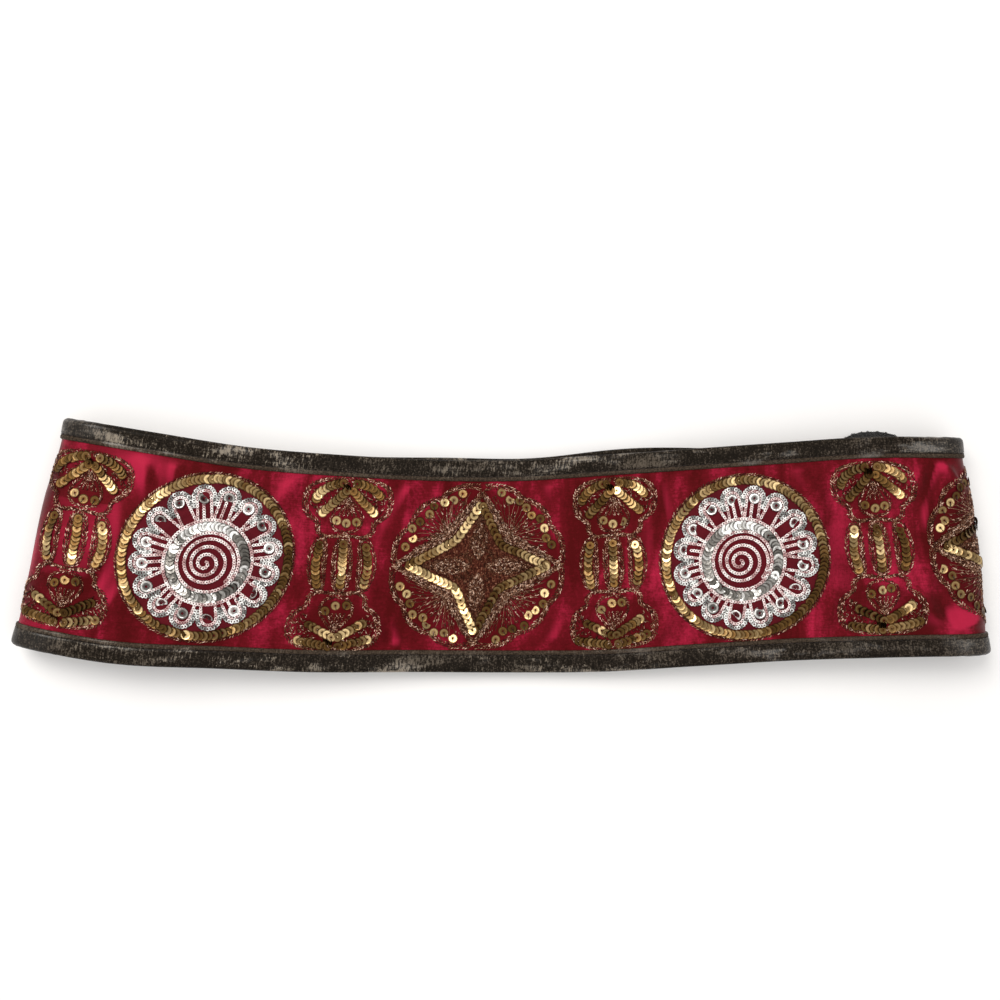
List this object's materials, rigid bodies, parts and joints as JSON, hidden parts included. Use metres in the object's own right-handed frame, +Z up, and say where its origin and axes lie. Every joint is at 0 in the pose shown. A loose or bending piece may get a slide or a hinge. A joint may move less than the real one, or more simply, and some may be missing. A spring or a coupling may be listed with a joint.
{
  "type": "sequin belt",
  "caption": "Wide curved belt of red satin with round sequin medallions and dark leather bindings, closed with hook-and-loop tape and lying flat.",
  "frame": {"origin": "on the table under the middle of the belt's box", "axes": "+X along the flattened belt to the right, +Y towards its shorter waist edge, +Z up"},
  "size_m": [0.414, 0.1078, 0.0233],
  "materials": {
    "satin": "crimson satin with a soft sheen",
    "leather": "dark brown, crackled and worn",
    "tape": "black hook-and-loop tape",
    "applique": "maroon cloth",
    "sequin_gold": "antique gold foil",
    "sequin_silver": "silver foil",
    "cord_silver": "silver wound cord",
    "thread_bronze": "brown and rose metallic thread",
    "thread_dark": "dark sewing thread"
  },
  "bodies": {
    "root": {"face_panel": "satin", "binding_waist": "leather", "binding_hip": "leather", "loop_tape": "tape", "hook_tape": "tape", "medallion_front_left": "applique", "medallion_front_right": "applique", "medallion_back": "applique"}
  },
  "joints": []
}
